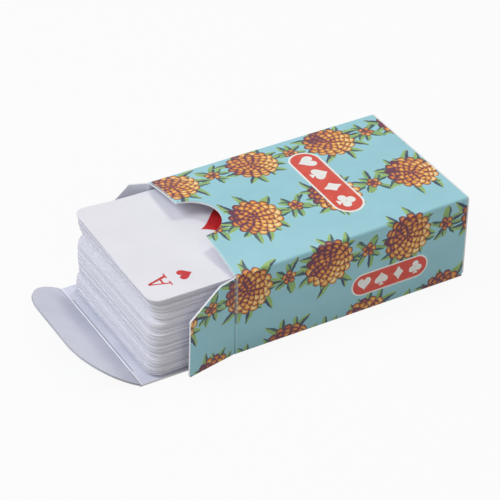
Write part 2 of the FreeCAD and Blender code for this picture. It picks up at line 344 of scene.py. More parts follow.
def addScoreShading(material):
    # Creases seen from inside, painted as lines of shade and highlight: the tongue's, which ends at its slits
    # with a painted shadow in each slit, and those at the mouth
    tree = material.node_tree
    socket = tree.nodes["Principled BSDF"].inputs["Base Color"]
    along = parts(sheetPlace(tree))[1]
    across = over(calc("ABSOLUTE", parts(objectPlace(tree))[0]), mm)
    between = calc("LESS_THAN", across, scores["tongueHalf"])
    colour = paintScoreShading(socket.links[0].from_socket, along, scores["tongue"], "tongueInside", between)
    slit = scores["tongue"] - scores["slitBack"]
    colour = paintScoreShading(colour, along, slit, "slitInside", minus(1.0, between))
    tree.links.new(paintScoreShading(colour, along, scores["mouth"], "mouthInside"), socket)


inkLook = {"patches": 500.0, "thinFrom": (0.3, 0.75), "toothScale": 5000.0, "tooth": (0.08, 0.01)}


def makeInk(name, full, thin, roughness):
    material, tree = newMaterial(name)
    place = objectPlace(tree)
    patches = noise(place, inkLook["patches"])
    paint(tree, mix(step(patches, *inkLook["thinFrom"]), full, thin), patches, roughness)
    addBump(tree, noise(place, inkLook["toothScale"]), *inkLook["tooth"])
    return material


edgeLook = {
    "pitch": 0.35,  # height of one card in the deck
    "tints": (rgb(196, 195, 206), rgb(245, 244, 251)),
    "tintFrom": (0.0, 0.4),
    "streaks": [  # stretch, scale, detail, range, share and colour of each layer
        ((0.004, 0.004, 1.0), 900.0, 2.0, (0.5, 0.62), 0.4, rgb(176, 174, 186)),
        ((0.012, 0.012, 1.2), 2400.0, 3.0, (0.35, 0.8), 0.35, rgb(210, 209, 223)),
    ],
    "roughness": (0.55, 0.7),
}


def makeCardEdge():
    material, tree = newMaterial("cardEdge")
    level = calc("FLOOR", over(parts(objectPlace(tree))[2], edgeLook["pitch"] * mm))
    colour = mix(step(chanceOf(level, 0.5), *edgeLook["tintFrom"]), *edgeLook["tints"])
    for stretch, scale, detail, reach, share, tone in edgeLook["streaks"]:
        streaks = noise(objectPlace(tree, stretch), scale, detail)
        colour = mix(times(step(streaks, *reach), share), colour, tone)
    paint(tree, colour, streaks, edgeLook["roughness"])
    return material


cardBack = {
    "halfWidth": 16.2,
    "halfLength": 25.6,
    "line": 0.7,
    "pitch": 3.4,
    "soft": 0.05,
    "blots": 400.0,
    "inks": (rgb(96, 164, 178), rgb(112, 178, 190)),
    "ground": rgb(240, 240, 243),
    "roughness": (0.32, 0.42),
}


def makeCardBack():
    material, tree = newMaterial("cardBack")
    across, along, _ = parts(sheetPlace(tree))
    toSide = minus(cardBack["halfWidth"], calc("ABSOLUTE", across))
    toEnd = minus(cardBack["halfLength"], calc("ABSOLUTE", along))
    waves = [calc("PINGPONG", diagonal(across, along), cardBack["pitch"]) for diagonal in (plus, minus)]
    lattice = calc("GREATER_THAN", calc("MINIMUM", *waves), cardBack["line"])
    inked = times(lattice, step(calc("MINIMUM", toSide, toEnd), 0.0, cardBack["soft"]))
    blots = noise(objectPlace(tree), cardBack["blots"])
    colour = mix(inked, cardBack["ground"], mix(blots, *cardBack["inks"]))
    paint(tree, colour, blots, cardBack["roughness"])
    return material


boardLooks = [
    makePrint(),
    makePaper("boardInside", rgb(228, 229, 240), rgb(213, 215, 229), (0.62, 0.78), 0.25, (1, 0.4, 1)),
    makePaper("boardCore", rgb(246, 246, 247), rgb(228, 229, 233), (0.7, 0.85), 0.3),
    makeInk("labelRed", rgb(214, 62, 46), rgb(222, 78, 58), (0.36, 0.46)),
    makeInk("labelWhite", rgb(246, 245, 240), rgb(238, 238, 234), (0.38, 0.48)),
    # A board core painted grey as shade, for the tongue's cut edge
    makePaper("shadedCore", rgb(196, 198, 205), rgb(176, 178, 188), (0.7, 0.85), 0.3),
]
printSlot, insideSlot, coreSlot, redSlot, whiteSlot, shadedCoreSlot = range(6)
addScoreShading(boardLooks[insideSlot])

cardLooks = [
    makePaper("cardFace", rgb(239, 238, 243), rgb(233, 232, 238), (0.34, 0.42), 0.1),
    makeCardEdge(),
    makeCardBack(),
    makeInk("inkRed", rgb(196, 24, 34), rgb(208, 42, 42), (0.3, 0.4)),
    makeInk("inkBlack", rgb(26, 26, 34), rgb(40, 40, 48), (0.3, 0.4)),
]
edgeSlot, backSlot, redInkSlot, blackInkSlot = range(1, 5)
print("materials made:", len(boardLooks) + len(cardLooks))


# Flat outlines

leastArea = 0.004  # twice the area under which a printed shape is left out
leastRun = 0.002  # points closer than this are one
weld = 1e-5
sharpAngle = 32


def arc(x, y, radius, turns):
    return [(x + radius * cos(turn), y + radius * sin(turn)) for turn in turns]


def rectangle(left, right, low, high, *more):
    return [(left, low, *more), (right, low, *more), (right, high, *more), (left, high, *more)]


def softCorners(corners, steps=8):
    # corners are (x, y, radius), anticlockwise or clockwise
    outline = []
    count = len(corners)
    for index, (x, y, radius) in enumerate(corners):
        corner = Vector((x, y))
        if radius <= 0:
            outline.append(corner)
            continue
        before = (Vector(corners[index - 1][:2]) - corner).normalized()
        after = (Vector(corners[(index + 1) % count][:2]) - corner).normalized()
        half = before.angle(after) / 2
        middle = corner + (before + after).normalized() * radius / sin(half)
        first = corner + before * radius / tan(half) - middle
        last = corner + after * radius / tan(half) - middle
        sweep = copysign(pi - 2 * half, first.x * last.y - first.y * last.x)
        for share in range(steps + 1):
            turn = Matrix.Rotation(sweep * share / steps, 2)
            outline.append(middle + turn @ first)
    return outline


def following(shape):
    return list(shape[1:]) + [shape[0]]


def twiceArea(shape):
    return sum(a[0] * b[1] - b[0] * a[1] for a, b in zip(shape, following(shape)))


def anticlockwise(shape):
    return list(shape) if twiceArea(shape) > 0 else list(reversed(shape))


def cutSheet(outline, inks=(), spots=(), clear=0.12):
    # Triangles of a flat sheet, with the printed shapes cut into it; spots are extra points inside
    shapes = [(anticlockwise(shape), slot) for shape, slot in [(outline, 0)] + list(inks)
              if abs(twiceArea(shape)) > leastArea]
    corners, faces, ends = [], [], []
    for shape, _ in shapes:
        first = len(corners)
        corners += [Vector(point) for point in shape]
        faces.append(list(range(first, len(corners))))
        ends += following(shape)
    if len(spots):
        start = np.array(corners)
        run = np.array(ends) - start
        squared = np.maximum((run ** 2).sum(1), weld ** 2)
        for spot in spots:
            away = np.array(spot) - start
            share = np.clip((away * run).sum(1) / squared, 0, 1)[:, None]
            if (((away - run * share) ** 2).sum(1) > clear ** 2).all():
                corners.append(Vector(spot))
    points, _, triangles, _, _, sources = delaunay_2d_cdt(corners, [], faces, 1, weld)
    kept = [(list(triangle), shapes[max(source)][1])
            for triangle, source in zip(triangles, sources) if 0 in source]
    used = sorted({corner for triangle, _ in kept for corner in triangle})
    order = {old: new for new, old in enumerate(used)}
    kept = [([order[corner] for corner in triangle], slot) for triangle, slot in kept]
    return [points[old] for old in used], kept


def stitched(outline, columns, rows):
    # Points on the outline where the sheet's columns and rows meet it, so that the rim folds with the sheet
    walk = []
    outline = [Vector(point) for point in outline]
    for start, end in zip(outline, following(outline)):
        run = end - start
        shares = {0.0}
        for lines, axis in ((columns, 0), (rows, 1)):
            if abs(run[axis]) > weld:
                shares |= {(line - start[axis]) / run[axis] for line in lines}
        last = -1
        for share in sorted(shares):
            if share >= 0 and min(share - last, 1 - share) * run.length > leastRun:
                walk.append(start + run * share)
                last = share
    return walk


def bothSides(kept, count, under):
    # Faces of the sheet and, count points further on, those of its under side
    faces = [triangle for triangle, _ in kept]
    faces += [[corner + count for corner in reversed(triangle)] for triangle, _ in kept]
    return faces, [slot for _, slot in kept] + [under] * len(kept)


def rimEdges(kept):
    directed = {(triangle[k - 1], triangle[k]) for triangle, _ in kept for k in range(3)}
    return [(a, b) for a, b in directed if (b, a) not in directed]


def addObject(name, data):
    made = bpy.data.objects.new(name, data)
    scene.collection.objects.link(made)
    return made


def newMesh(name, verts, faces):
    mesh = bpy.data.meshes.new(name)
    mesh.from_pydata(verts, [], faces)
    return mesh


def addAttribute(mesh, name, values):
    mesh.attributes.new(name, "FLOAT", "POINT").data.foreach_set("value", values)


def addMesh(name, verts, faces, slots, looks, flat, wear=None):
    mesh = newMesh(name, [tuple(vert * mm) for vert in verts], faces)
    for look in looks:
        mesh.materials.append(look)
    mesh.polygons.foreach_set("material_index", slots)
    layer = mesh.uv_layers.new(name="flatSheet")
    for loop in mesh.loops:
        place = flat[loop.vertex_index]
        layer.uv[loop.index].vector = (place[0] * uvScale, place[1] * uvScale)
    if wear is not None:
        addAttribute(mesh, "wear", wear)
    mesh.polygons.foreach_set("use_smooth", [True] * len(mesh.polygons))
    mesh.set_sharp_from_angle(angle=radians(sharpAngle))
    mesh.validate()
    return addObject(name, mesh)


# Geometry Nodes lay one pip on each point of a layout, turned by its spin and scaled by its size

def buildPipTree():
    tree = bpy.data.node_groups.new("pipLayout", "GeometryNodeTree")
    for way in ("INPUT", "OUTPUT"):
        tree.interface.new_socket("Geometry", in_out=way, socket_type="NodeSocketGeometry")
    pip = tree.interface.new_socket("Pip", in_out="INPUT", socket_type="NodeSocketObject")
    given = addNode("NodeGroupInput", tree=tree)
    spin, size = (addNode("GeometryNodeInputNamedAttribute", {"Name": name}, tree, data_type="FLOAT")["Attribute"]
                  for name in ("spin", "size"))
    turn = addNode("ShaderNodeCombineXYZ", {"Z": spin})[0]
    laid = addNode("GeometryNodeInstanceOnPoints", {
        "Points": given["Geometry"],
        "Instance": addNode("GeometryNodeObjectInfo", {"Object": given["Pip"]})["Geometry"],
        "Rotation": addNode("FunctionNodeEulerToRotation", {0: turn})[0],
        "Scale": size,
    })["Instances"]
    real = addNode("GeometryNodeRealizeInstances", {"Geometry": laid})["Geometry"]
    addNode("NodeGroupOutput", {"Geometry": real})
    return tree, pip.identifier


pipTree, pipSocket = buildPipTree()


def clubLeaf(x, y, radius=0.235, steps=24):
    return arc(x, y, radius, [tau * k / steps for k in range(steps)])


def heartOutline(steps=40):
    outline = []
    for k in range(steps):
        t = tau * k / steps
        x = 16 * sin(t) ** 3
        y = 13 * cos(t) - 5 * cos(2 * t) - 2 * cos(3 * t) - cos(4 * t)
        outline.append((-x / 32, (y + 2.5) / 30))
    return outline


def starOutline(points=5, radii=(0.52, 0.21)):
    return [(radii[k % 2] * -sin(pi * k / points), radii[k % 2] * cos(pi * k / points))
            for k in range(2 * points)]


stem = [(-0.2, -0.5), (0.2, -0.5), (0.07, -0.3), (0.03, 0.0), (-0.03, 0.0), (-0.07, -0.3)]
suitShapes = {  # each one unit high, about its middle
    "hearts": [heartOutline()],
    "diamonds": [[(0, -0.52), (0.17, -0.24), (0.38, 0), (0.17, 0.24),
                  (0, 0.52), (-0.17, 0.24), (-0.38, 0), (-0.17, -0.24)]],
    "spades": [[(-x, 0.1 - 0.86 * y) for x, y in heartOutline()], stem],
    "clubs": [clubLeaf(0, 0.26), clubLeaf(-0.25, -0.1), clubLeaf(0.25, -0.1), stem],
    "joker": [starOutline()],
}


def makePip(name, outlines):
    verts, faces = [], []
    for outline in outlines:
        first = len(verts)
        verts += [(x, y, 0) for x, y in outline]
        faces.append(list(range(first, len(verts))))
    return bpy.data.objects.new(name, newMesh(name, verts, faces))


pips = {suit: makePip(f"{suit}Pip", outlines) for suit, outlines in suitShapes.items()}


def asMesh(holder):
    return bpy.data.meshes.new_from_object(holder.evaluated_get(bpy.context.evaluated_depsgraph_get()))


def layPips(suit, layout):
    # layout is (x, y, spin in degrees, size); gives the outlines of the laid pips
    mesh = newMesh("pipPoints", [(x, y, 0) for x, y, _, _ in layout], [])
    addAttribute(mesh, "spin", [radians(spin) for _, _, spin, _ in layout])
    addAttribute(mesh, "size", [size for _, _, _, size in layout])
    holder = addObject("pipPoints", mesh)
    scene.collection.objects.link(pips[suit])
    modifier = holder.modifiers.new("pips", "NODES")
    modifier.node_group = pipTree
    modifier[pipSocket] = pips[suit]
    laid = asMesh(holder)
    outlines = [[laid.vertices[corner].co.xy.copy() for corner in face.vertices] for face in laid.polygons]
    scene.collection.objects.unlink(pips[suit])
    bpy.data.objects.remove(holder)
    bpy.data.meshes.remove(laid)
    return outlines


# The box is one flat sheet: u runs round it from the middle of the front panel, v runs along it

box = {
    "halfWidth": 20.08,
    "height": 22.1,
    "board": 0.45,
    "fold": 0.70,  # outside radius of the four long folds
    "mouth": scores["mouth"],
    "tubeEnd": 29.55,
    "arch": 2.6,  # rise of the front panel at the mouth
    "droop": 0.9,  # how much lower the right wall stands at the mouth
    "notch": 6.8,
    "notchSteps": 32,
    "notchRing": (0.4, 40),  # distance and number of the points that keep the notch's rim even
    "seamWidth": 8.75,
    "seamTaper": 3.0,
    "seamRange": (-28.5, 27.15),
    "cutGap": 0.06,  # bare end of the back panel at the seam
    "pitch": 2.4,  # spacing of the sheet's own points
    "endRow": 0.5,
    "foldSteps": 6,
}
mouth, tubeEnd, board, pitch, fold, halfWidth = (
    box[key] for key in ("mouth", "tubeEnd", "board", "pitch", "fold", "halfWidth"))
# Reach and strength of wear
rubs = {"fold": (0.5, 0.5), "cut": (0.3, 0.5), "crease": (0.5, 0.6), "rim": (0.35, 0.7)}
crease = {
    "reach": 0.6,  # length of board over which a flap turns
    "aim": 0.7,  # share of a flap's turn by which the blend's direction is turned
    "rows": 10,
    "groove": (0.36, 0.2),  # half width and depth of the line pressed in from outside
    "bead": (0.3, 0.06),  # half width and height of the bead that it raises inside
    "tongueBead": (0.32, 0.16),
}

flatHalf = halfWidth - fold
foldRun = fold * pi / 2
wallRun = box["height"] - 2 * fold
seamWall = wallRun - board
backStart = flatHalf + foldRun + wallRun + foldRun
backMiddle = backStart + flatHalf
wallMiddle = flatHalf + foldRun + wallRun / 2


def mouthShare(v):
    return 1 - (v - mouth) / (tubeEnd - mouth)


def archAt(u, v):
    radius = (flatHalf ** 2 + box["arch"] ** 2) / (2 * box["arch"])
    bow = sqrt(radius ** 2 - u ** 2) - (radius - box["arch"])
    droop = box["droop"] * (u + flatHalf) / (2 * flatHalf)
    return (bow - droop) * mouthShare(v)


def topAt(side, v):
    return box["height"] - (box["droop"] * mouthShare(v) if side > 0 else 0)


def creaseDip(distance, depth, bead="bead"):
    # The crease is pressed in as a groove, alike on both sides of its line, with a bead inside
    half, dip = crease["groove"] if depth == 0 else crease[bead]
    away = min(abs(distance) / half, 1)
    return dip * (1 - away ** 2) ** 2


def wrapPoint(u, v, depth):
    side = 1 if u >= 0 else -1
    floor = 0 if side > 0 else board  # the seam flap is glued on top of the back panel
    radius = fold - depth
    dip = creaseDip(v - mouth, depth)
    run = abs(u) - flatHalf
    if run <= 0:
        return Vector((u, v, box["height"] - depth + archAt(u, v)))
    if run <= foldRun:
        turn = run / fold
        x = flatHalf + radius * sin(turn)
        return Vector((side * x, v, topAt(side, v) - fold + radius * cos(turn)))
    run -= foldRun
    wall = wallRun - floor
    if run <= wall:
        low, high = floor + fold, topAt(side, v) - fold
        return Vector((side * (halfWidth - depth - dip), v, high + (low - high) * run / wall))
    run -= wall
    if run <= foldRun:
        turn = run / fold
        x = flatHalf + radius * cos(turn)
        return Vector((side * x, v, floor + fold - radius * sin(turn)))
    run -= foldRun
    return Vector((side * (flatHalf - run), v, floor + depth + (dip if side > 0 else 0)))


def rubbed(kind, distance):
    reach, strength = rubs[kind]
    return strength * max(0, 1 - distance / reach)


def evenly(first, last, spacing=pitch):
    count = max(1, round(abs(last - first) / spacing))
    return [first + (last - first) * k / count for k in range(count + 1)]


def creaseRows(line, direction):
    return [line + direction * crease["reach"] * k / crease["rows"] for k in range(crease["rows"] + 1)]


def boardPiece(name, outline, place, columns=(), rows=(), wearAt=None, inks=(), printedRim=None, ring=(),
               cut=coreSlot):
    spots = [(u, v) for u in columns for v in rows] + list(ring)
    points, kept = cutSheet(stitched(outline, columns, rows), inks, spots)
    count = len(points)
    verts = [place(*point, depth) for depth in (0.0, board) for point in points]
    faces, slots = bothSides(kept, count, insideSlot)
    for a, b in rimEdges(kept):
        faces.append([b, a, a + count, b + count])
        printed = printedRim and printedRim(points[a]) and printedRim(points[b])
        slots.append(printSlot if printed else cut)
    wear = [wearAt(*point) if wearAt else 0.0 for point in points]
    return addMesh(name, verts, faces, slots, boardLooks, points + points, wear + wear)


# Labels stand on the four sides: a red lozenge with a white line and the four suits

labels = {
    "long": 26.0,
    "high": 7.8,
    "keyLine": 0.5,
    "suitSize": 4.5,
    "suitPitch": 5.8,
    "cornerSteps": 10,
    "suits": ["hearts", "spades", "diamonds", "clubs"],
    "places": [  # middle u, middle v, turn in degrees, size share
        (0.0, 4.6, 0, 1.0),
        (wallMiddle + 3.4, 9.6, 90, 0.78),
        (-wallMiddle - 3.4, 9.6, -90, 0.78),
        (backMiddle, 4.6, 180, 1.0),
    ],
}


def labelInks():
    inks = []
    for u, v, turn, share in labels["places"]:
        rotate = Matrix.Rotation(radians(turn), 2)
        middle = Vector((u, v))

        def lozenge(inset):
            x, y = labels["long"] / 2 - inset, labels["high"] / 2 - inset
            ring = softCorners(rectangle(-x, x, -y, y, y), labels["cornerSteps"])
            return [middle + rotate @ (point * share) for point, last in zip(ring, ring[-1:] + ring[:-1])
                    if (point - last).length > leastRun]

        inks.append((lozenge(0), whiteSlot))
        inks.append((lozenge(labels["keyLine"]), redSlot))
        for number, suit in enumerate(labels["suits"]):
            across = (number - (len(labels["suits"]) - 1) / 2) * labels["suitPitch"] * share
            spot = middle + rotate @ Vector((across, 0))
            laid = layPips(suit, [(spot.x, spot.y, turn, labels["suitSize"] * share)])
            inks += [(outline, whiteSlot) for outline in laid]
    return inks


def sleeveOutline():
    seamLine = -(flatHalf + foldRun + seamWall)
    seamEdge = seamLine - foldRun - box["seamWidth"]
    seamFront, seamBack = box["seamRange"]
    taper = box["seamTaper"]
    backEdge = backMiddle + halfWidth - box["cutGap"]
    outline = [(seamLine, mouth)]
    steps = box["notchSteps"]
    outline += arc(0, mouth, box["notch"], [pi * (1 - k / steps) for k in range(steps + 1)])
    outline += [(backEdge, mouth), (backEdge, tubeEnd), (seamLine, tubeEnd), (seamLine, seamBack)]
    outline += [(seamEdge, seamBack - taper), (seamEdge, seamFront + taper), (seamLine, seamFront)]
    return outline


def sideColumns(wall, last):
    # From the front panel's middle over fold, wall and fold to the end of the back panel or seam flap
    lines = evenly(0, flatHalf)
    for run in (wall, last):
        lines += [lines[-1] + foldRun * k / box["foldSteps"] for k in range(1, box["foldSteps"] + 1)]
        lines += evenly(lines[-1], lines[-1] + run)[1:]
    return lines


longFolds = [flatHalf + foldRun / 2, flatHalf + foldRun * 1.5 + wallRun, -flatHalf - foldRun / 2,
             -flatHalf - foldRun * 1.5 - seamWall]


def sleeveWear(u, v):
    toFold = min(abs(u - line) for line in longFolds)
    cut = min(v - mouth, hypot(u, v - mouth) - box["notch"])
    return min(max(rubbed("fold", min(toFold, tubeEnd - v)), rubbed("cut", cut)), 1)


sleeveColumns = sideColumns(wallRun, 2 * flatHalf)[1:]
sleeveColumns += [-line for line in sideColumns(seamWall, box["seamWidth"])]
sleeveRows = creaseRows(mouth, 1) + evenly(mouth + pitch, tubeEnd - box["endRow"])
ringGap, ringSteps = box["notchRing"]
notchRing = arc(0, mouth, box["notch"] + ringGap, [pi * k / ringSteps for k in range(1, ringSteps)])
sleeve = boardPiece("sleeveBoard", sleeveOutline(), wrapPoint, sleeveColumns, sleeveRows, sleeveWear, labelInks(),
                    lambda point: point.y > tubeEnd - leastRun, notchRing)
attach(sleeve, "sleeve")
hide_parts("sleeve")
print("sleeve folded:", len(sleeve.data.polygons), "faces")


# Base: the outer flap folds up from the back panel over the inner flap and two dust flaps

base = {
    "inset": 0.12,
    "corner": 0.7,
    "innerTop": 21.5,
    "innerLow": 8.0,
    "innerHalf": 19.48,
    "dustLength": 13.0,
    "dustTaper": 3.0,
    "dustLow": 0.6,
    "innerBend": 0.03,  # radius inside the outer flap's fold
    "bendPitch": 0.12,
}
baseBend = board * pi / 2


def basePoint(u, v, depth):
    run = v - tubeEnd
    radius = max(board - depth, base["innerBend"])
    x = backMiddle - u
    if run <= baseBend:
        turn = run / board
        return Vector((x, tubeEnd + radius * sin(turn), board - radius * cos(turn)))
    return Vector((x, tubeEnd + radius, board + run - baseBend))


def mirrored(*corners):
    # An outline about the back panel's middle, from the corners of its right half
    left = [(-x, *more) for x, *more in reversed(corners)]
    return [(backMiddle + x, *more) for x, *more in left[-1:] + list(corners) + left[:-1]]


def flatLayer(back):
    return lambda u, v, depth: Vector((-u, back - depth, v))


def baseWear(u, v):
    return rubbed("fold", abs(v - tubeEnd - baseBend / 2))


baseHalf = halfWidth - base["inset"]
baseEnd = tubeEnd + baseBend + box["height"] - base["inset"] - board
footHalf = flatHalf - base["inset"]
bendEnd, soft = tubeEnd + baseBend, base["corner"]
outerOutline = softCorners(mirrored(
    (footHalf, tubeEnd, 0), (footHalf, bendEnd, 0), (baseHalf, bendEnd + soft, 0), (baseHalf, baseEnd, soft)))
baseColumns = evenly(backMiddle - baseHalf, backMiddle + baseHalf)
baseRows = evenly(tubeEnd, bendEnd, base["bendPitch"])
baseFlaps = [boardPiece("baseOuterFlap", outerOutline, basePoint, baseColumns, baseRows, baseWear)]

half, low, high, taper = base["innerHalf"], base["innerLow"], base["innerTop"], base["dustTaper"]
baseFlaps.append(boardPiece("baseInnerFlap", rectangle(-half, half, low, high), flatLayer(tubeEnd)))
for name, side in (("Left", -1), ("Right", 1)):
    low, wall, tip = base["dustLow"], -side * half, -side * (half - base["dustLength"])
    outline = [(wall, low), (tip, low + taper), (tip, high - taper), (wall, high)]
    baseFlaps.append(boardPiece(f"baseDustFlap{name}", outline, flatLayer(tubeEnd - board)))
for piece in baseFlaps:
    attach(piece, "sleeve")
    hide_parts("base_flaps")
print("base closed with", len(baseFlaps), "flaps")


# Flaps at the mouth bend with their joints: each mesh starts at its crease and turns over the crease's reach

def bendShare(distance):
    share = min(max(distance / crease["reach"], 0), 1)
    return share * share * (3 - 2 * share)


def turned(point, pivot, axis, degrees):
    return pivot + Matrix.Rotation(radians(degrees), 3, axis) @ (point - pivot)


lidHalf, lidFront, relief = 19.68, scores["tongue"], 0.5
tongue = {
    "depth": 13.4,
    "turn": 31.0,
    "corner": 12.6,
    "cornerSteps": 24,
    "slit": 5.0,
    "slitGap": 0.2,
    "creaseEase": 0.3,
}
creaseHalf = lidHalf - tongue["slit"]


def tongueCrease(u, v, depth):
    # The tongue's crease fades out at the ends of its slits
    share = min(max((creaseHalf - abs(u - backMiddle)) / tongue["creaseEase"], 0), 1)
    return share * creaseDip(v - lidFront, depth, "tongueBead")


def lidPoint(u, v, depth):
    dip = creaseDip(v - mouth, depth) + tongueCrease(u, v, depth)
    return Vector((backMiddle - u, v, depth + dip))


def lidWear(u, v):
    return rubbed("rim", min(lidHalf - abs(u - backMiddle), v - lidFront, mouth - v))


lidSlit = lidFront - scores["slitBack"]
reliefHalf, reliefEnd = lidHalf - relief, mouth - relief
lidOutline = mirrored(
    (creaseHalf, lidFront), (creaseHalf, lidSlit), (lidHalf, lidSlit), (lidHalf, reliefEnd), (reliefHalf, mouth))
lidColumns = evenly(backMiddle - lidHalf, backMiddle + lidHalf)
lidColumns += [backMiddle + side * (creaseHalf - tongue["creaseEase"]) for side in (-1, 1)]
lidRows = creaseRows(mouth, -1) + creaseRows(lidFront, 1)
lidRows += evenly(lidFront + pitch, mouth - pitch)
lidPanel = boardPiece("lidBoard", lidOutline, lidPoint, lidColumns, lidRows, lidWear)
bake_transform(lidPanel)
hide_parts("lid_panel")

tonguePivot = Vector((0, lidFront, board))


def tonguePoint(u, v, depth):
    distance = lidFront - v
    flat = Vector((backMiddle - u, v, depth + tongueCrease(u, v, depth)))
    return turned(flat, tonguePivot, "X", -tongue["turn"] * bendShare(distance))


slitLine = lidSlit - tongue["slitGap"]
tongueTip = lidFront - tongue["depth"]
tongueOutline = softCorners(mirrored(
    (lidHalf, tongueTip, tongue["corner"]), (lidHalf, slitLine, 0), (creaseHalf, slitLine, 0),
    (creaseHalf, lidFront, 0)), tongue["cornerSteps"])
tongueRows = creaseRows(lidFront, -1) + evenly(tongueTip, lidFront - pitch)
# The tongue's cut edge takes the core that is painted grey as shade
tongueBoard = boardPiece("tongueBoard", tongueOutline, tonguePoint, lidColumns, tongueRows,
                         lambda u, v: rubbed("crease", lidFront - v), cut=shadedCoreSlot)
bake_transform(tongueBoard)
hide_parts("tuck_tongue")

dust = {
    "length": 13.2,
    "slant": 0.4,  # how much longer the low corner is than the high one
    "shoulder": 4.4,
    "low": 0.55,
    "rise": 0.8,
    "corner": 0.4,
    "right": {"side": 1, "turn": 14.5, "top": 20.9, "drop": 5.0},
    "left": {"side": -1, "turn": 21.0, "top": 21.8, "drop": 10.5},
}


def makeDustFlap(name):
    own = dust[name]
    side = own["side"]
    pivot = Vector((side * halfWidth, mouth, 0))
    floor = 0 if side > 0 else board
    high = topAt(side, mouth) - fold
    squeeze = (wallRun - floor) / (high - floor - fold)

    def flatU(level):
        return side * (flatHalf + foldRun + (high - level) * squeeze)

    def flapPoint(u, v, depth):
        distance = mouth - v
        level = high - (abs(u) - flatHalf - foldRun) / squeeze
        flat = Vector((side * (halfWidth - depth - creaseDip(distance, depth)), v, level))
        return turned(flat, pivot, "Z", side * own["turn"] * bendShare(distance))

    end = mouth - dust["length"]
    low, top = dust["low"], own["top"]
    corners = [
        (flatU(low), mouth, 0),
        (flatU(top), mouth, 0),
        (flatU(top), mouth - dust["shoulder"], 0),
        (flatU(top - own["drop"]), end, dust["corner"]),
        (flatU(low + dust["rise"]), end - dust["slant"], dust["corner"]),
    ]
    outline = softCorners(corners if side > 0 else corners[::-1])
    columns = evenly(flatU(low), flatU(top))
    rows = creaseRows(mouth, -1) + evenly(end - dust["slant"], mouth - pitch)
    piece = boardPiece(f"{name}DustFlap", outline, flapPoint, columns, rows,
                       lambda u, v: rubbed("crease", mouth - v))
    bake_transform(piece)
    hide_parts(f"dust_flap_{name}")


for name in ("right", "left"):
    makeDustFlap(name)
print("lid, tongue and dust flaps creased")


# Cards: one mesh for each, with its index and pips cut into the face

card = {
    "width": 38.2,
    "length": 57.0,
    "thick": 0.31,
    "corner": 3.0,
    "softEdge": 0.06,
    "cornerSteps": 7,
    "indexPlace": (-13.0, 23.6),
    "indexHeight": 4.8,
    "indexPip": (-13.0, 17.1, 3.5),
    "pipSize": 6.4,
    "pipColumn": 7.4,
    "pipRows": 18.0,
    "acePip": 13.6,
    "courtPip": (9.0, 1.7),  # distance from the middle, and size in pips
    "letterWidth": 0.95,  # widest index, in shares of its height
    "letterSteps": 4,
    "frame": (11.4, 21.5, 0.32),  # half width, half height and line of a court card's frame
    "curl": (0.9, 0.05),  # rise of the top card's front end, at its left and right
    "curlReach": 17.0,
    "curlPitch": (4.0, 2.0),
}
ranks = "ace two three four five six seven eight nine ten jack queen king".split()
rankMarks = dict(zip(ranks, "A 2 3 4 5 6 7 8 9 10 J Q K".split()))
third = 1 / 3
pipRows = {  # pips at each height share: one in the middle or two at the sides
    "two": {1: 1, -1: 1},
    "three": {1: 1, 0: 1, -1: 1},
    "four": {1: 2, -1: 2},
    "five": {1: 2, 0: 1, -1: 2},
    "six": {1: 2, 0: 2, -1: 2},
    "seven": {1: 2, 0.5: 1, 0: 2, -1: 2},
    "eight": {1: 2, 0.5: 1, 0: 2, -0.5: 1, -1: 2},
    "nine": {1: 2, third: 2, -third: 2, -1: 2, 0: 1},
    "ten": {1: 2, third: 2, -third: 2, -1: 2, 2 * third: 1, -2 * third: 1},
}
serifLetter = [  # strokes of the ace's letter, in shares of its height
    [(-0.36, -0.5), (-0.27, -0.5), (0.02, 0.5), (-0.06, 0.5)],
    [(0.2, -0.5), (0.36, -0.5), (0.05, 0.5), (-0.06, 0.5)],
    rectangle(-0.24, 0.2, -0.2, -0.1),
    rectangle(-0.47, -0.14, -0.5, -0.43),
    rectangle(0.1, 0.48, -0.5, -0.43),
]


def letterShapes(mark):
    if mark == "A":
        return serifLetter
    curve = bpy.data.curves.new("rankMark", "FONT")
    curve.body = mark
    curve.resolution_u = card["letterSteps"]
    holder = addObject("rankMark", curve)
    mesh = asMesh(holder)
    xs, ys = zip(*(vert.co.xy for vert in mesh.vertices))
    height = max(ys) - min(ys)
    squeeze = min(1, card["letterWidth"] * height / (max(xs) - min(xs)))
    midX, midY = (min(xs) + max(xs)) / 2, (min(ys) + max(ys)) / 2
    shapes = [[((xs[k] - midX) / height * squeeze, (ys[k] - midY) / height) for k in face.vertices]
              for face in mesh.polygons]
    bpy.data.objects.remove(holder)
    bpy.data.meshes.remove(mesh)
    return shapes


letters = {rank: letterShapes(mark) for rank, mark in rankMarks.items()}


def frameShapes(halfX, halfY, line):
    shapes = []
    for x, y in ((halfX, halfY), (-halfX, -halfY)):
        shapes.append(rectangle(-halfX, halfX, y, y + line))
        shapes.append(rectangle(x, x + line, -halfY, halfY + line))
    return shapes


